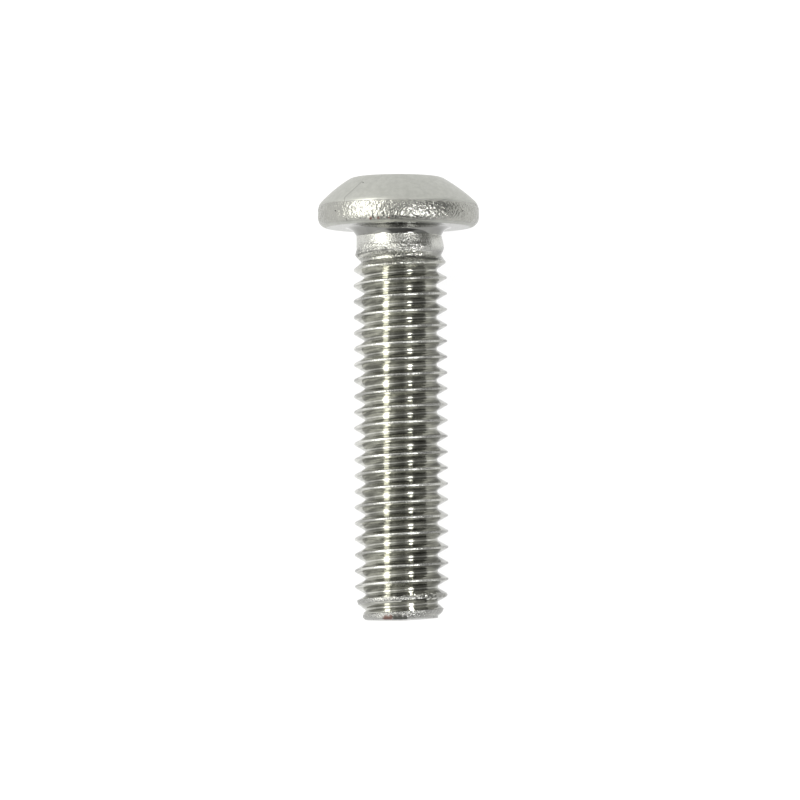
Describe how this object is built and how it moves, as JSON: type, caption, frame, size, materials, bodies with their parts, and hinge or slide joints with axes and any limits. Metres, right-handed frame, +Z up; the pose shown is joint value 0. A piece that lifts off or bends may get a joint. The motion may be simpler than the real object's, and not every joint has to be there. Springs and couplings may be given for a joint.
{
  "type": "button-head socket machine screw",
  "caption": "Stainless machine screw with a low domed button head, hexagon socket, plain neck and full right-hand thread to a tapered tip.",
  "frame": {"origin": "middle of the bounding box's bottom, on the surface that the screw lies on", "axes": "+Z up, +Y from the tip towards the head, +X to the right when the head points away; the screw's own axis rises towards the head by about 5 degrees"},
  "size_m": [0.0102, 0.0283, 0.0102],
  "materials": {
    "stainless_steel": "satin"
  },
  "bodies": {
    "root": {"screw": "stainless_steel"}
  },
  "joints": []
}
